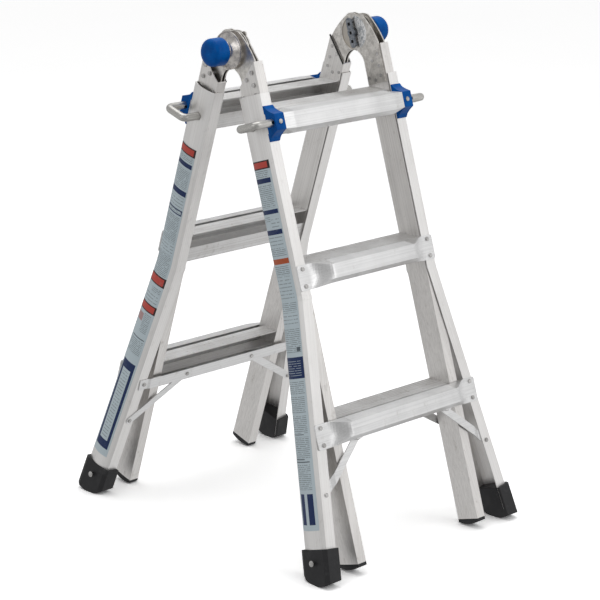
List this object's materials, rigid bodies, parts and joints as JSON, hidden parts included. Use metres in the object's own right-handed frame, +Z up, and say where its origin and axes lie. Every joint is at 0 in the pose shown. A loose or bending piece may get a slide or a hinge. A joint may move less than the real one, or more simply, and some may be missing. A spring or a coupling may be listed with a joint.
{
  "type": "multi position ladder",
  "caption": "Telescoping multi position ladder with locking hinges, flared outer sections and rubber feet, standing as a stepladder.",
  "frame": {"origin": "on the floor, directly below the middle of the hinge axis", "axes": "+Z up; X along the rungs with the user's right hand at +X when facing the front section; the front section is climbed from -Y and the rear section spreads to +Y"},
  "size_m": [0.5628, 0.7658, 1.0199],
  "materials": {
    "mill_aluminium": "mill finish with scuffs",
    "zinc_steel": "zinc plated, satin",
    "zinc_fasteners": "zinc plated",
    "spring_steel": "plain",
    "black_rubber": "matt",
    "blue_plastic": "satin moulded"
  },
  "bodies": {
    "front_inner": {"front_inner_rail_left": "mill_aluminium", "front_inner_rail_right": "mill_aluminium", "front_inner_rungs": "mill_aluminium", "front_inner_end_caps": "black_rubber", "front_hinge_plates_left": "zinc_steel", "front_hinge_plates_right": "zinc_steel", "front_hinge_rivets": "zinc_fasteners", "hinge_pivot_tubes": "zinc_fasteners", "hinge_housings": "zinc_steel", "left_knob_spring": "spring_steel", "right_knob_spring": "spring_steel"},
    "rear_inner": {"rear_inner_rail_left": "mill_aluminium", "rear_inner_rail_right": "mill_aluminium", "rear_inner_rungs": "mill_aluminium", "rear_inner_end_caps": "black_rubber", "rear_hinge_plates_left": "zinc_steel", "rear_hinge_plates_right": "zinc_steel", "rear_hinge_rivets": "zinc_fasteners", "hinge_spacers": "zinc_fasteners"},
    "front_outer": {"front_outer_rail_left": "mill_aluminium", "front_outer_rail_right": "mill_aluminium", "front_outer_top_rung": "mill_aluminium", "front_outer_middle_rung": "mill_aluminium", "front_outer_bottom_rung": "mill_aluminium", "front_strap": "mill_aluminium", "front_rung_braces": "mill_aluminium", "front_strap_braces": "mill_aluminium", "front_outer_rivets": "zinc_fasteners", "front_lock_brackets": "blue_plastic", "front_bracket_rivets": "zinc_fasteners", "front_feet": "black_rubber", "front_left_lock_spring": "spring_steel", "front_right_lock_spring": "spring_steel"},
    "rear_outer": {"rear_outer_rail_left": "mill_aluminium", "rear_outer_rail_right": "mill_aluminium", "rear_outer_top_rung": "mill_aluminium", "rear_outer_middle_rung": "mill_aluminium", "rear_outer_bottom_rung": "mill_aluminium", "rear_strap": "mill_aluminium", "rear_rung_braces": "mill_aluminium", "rear_strap_braces": "mill_aluminium", "rear_outer_rivets": "zinc_fasteners", "rear_lock_brackets": "blue_plastic", "rear_bracket_rivets": "zinc_fasteners", "rear_feet": "black_rubber", "rear_left_lock_spring": "spring_steel", "rear_right_lock_spring": "spring_steel"},
    "left_release": {"left_release_knob": "blue_plastic", "left_release_shaft": "zinc_steel", "left_lock_bar": "zinc_steel"},
    "right_release": {"right_release_knob": "blue_plastic", "right_release_shaft": "zinc_steel", "right_lock_bar": "zinc_steel"},
    "front_left_lock": {"front_left_lock_rod": "zinc_steel"},
    "front_right_lock": {"front_right_lock_rod": "zinc_steel"},
    "rear_left_lock": {"rear_left_lock_rod": "zinc_steel"},
    "rear_right_lock": {"rear_right_lock_rod": "zinc_steel"}
  },
  "joints": [
    {"name": "fold", "type": "hinge", "parent": "front_inner", "child": "rear_inner", "pos_m": [0, 0, 0.981], "axis": [1, 0, 0], "range_deg": [-35.14, 144.86]},
    {"name": "front_extend", "type": "slide", "parent": "front_inner", "child": "front_outer", "axis": [0, -0.3019, -0.9533], "range_m": [0, 0.6096]},
    {"name": "rear_extend", "type": "slide", "parent": "rear_inner", "child": "rear_outer", "axis": [0, 0.3019, -0.9533], "range_m": [0, 0.6096]},
    {"name": "front_left_lock_pull", "type": "slide", "parent": "front_outer", "child": "front_left_lock", "axis": [-1, 0, 0], "range_m": [-0.017, 0.008], "deforming": ["front_left_lock_spring"]},
    {"name": "front_right_lock_pull", "type": "slide", "parent": "front_outer", "child": "front_right_lock", "axis": [1, 0, 0], "range_m": [-0.017, 0.008], "deforming": ["front_right_lock_spring"]},
    {"name": "rear_left_lock_pull", "type": "slide", "parent": "rear_outer", "child": "rear_left_lock", "axis": [-1, 0, 0], "range_m": [-0.017, 0.008], "deforming": ["rear_left_lock_spring"]},
    {"name": "rear_right_lock_pull", "type": "slide", "parent": "rear_outer", "child": "rear_right_lock", "axis": [1, 0, 0], "range_m": [-0.017, 0.008], "deforming": ["rear_right_lock_spring"]},
    {"name": "left_release_push", "type": "slide", "parent": "front_inner", "child": "left_release", "axis": [-1, 0, 0], "range_m": [0, 0.006], "deforming": ["left_knob_spring"]},
    {"name": "right_release_push", "type": "slide", "parent": "front_inner", "child": "right_release", "axis": [1, 0, 0], "range_m": [0, 0.006], "deforming": ["right_knob_spring"]}
  ]
}
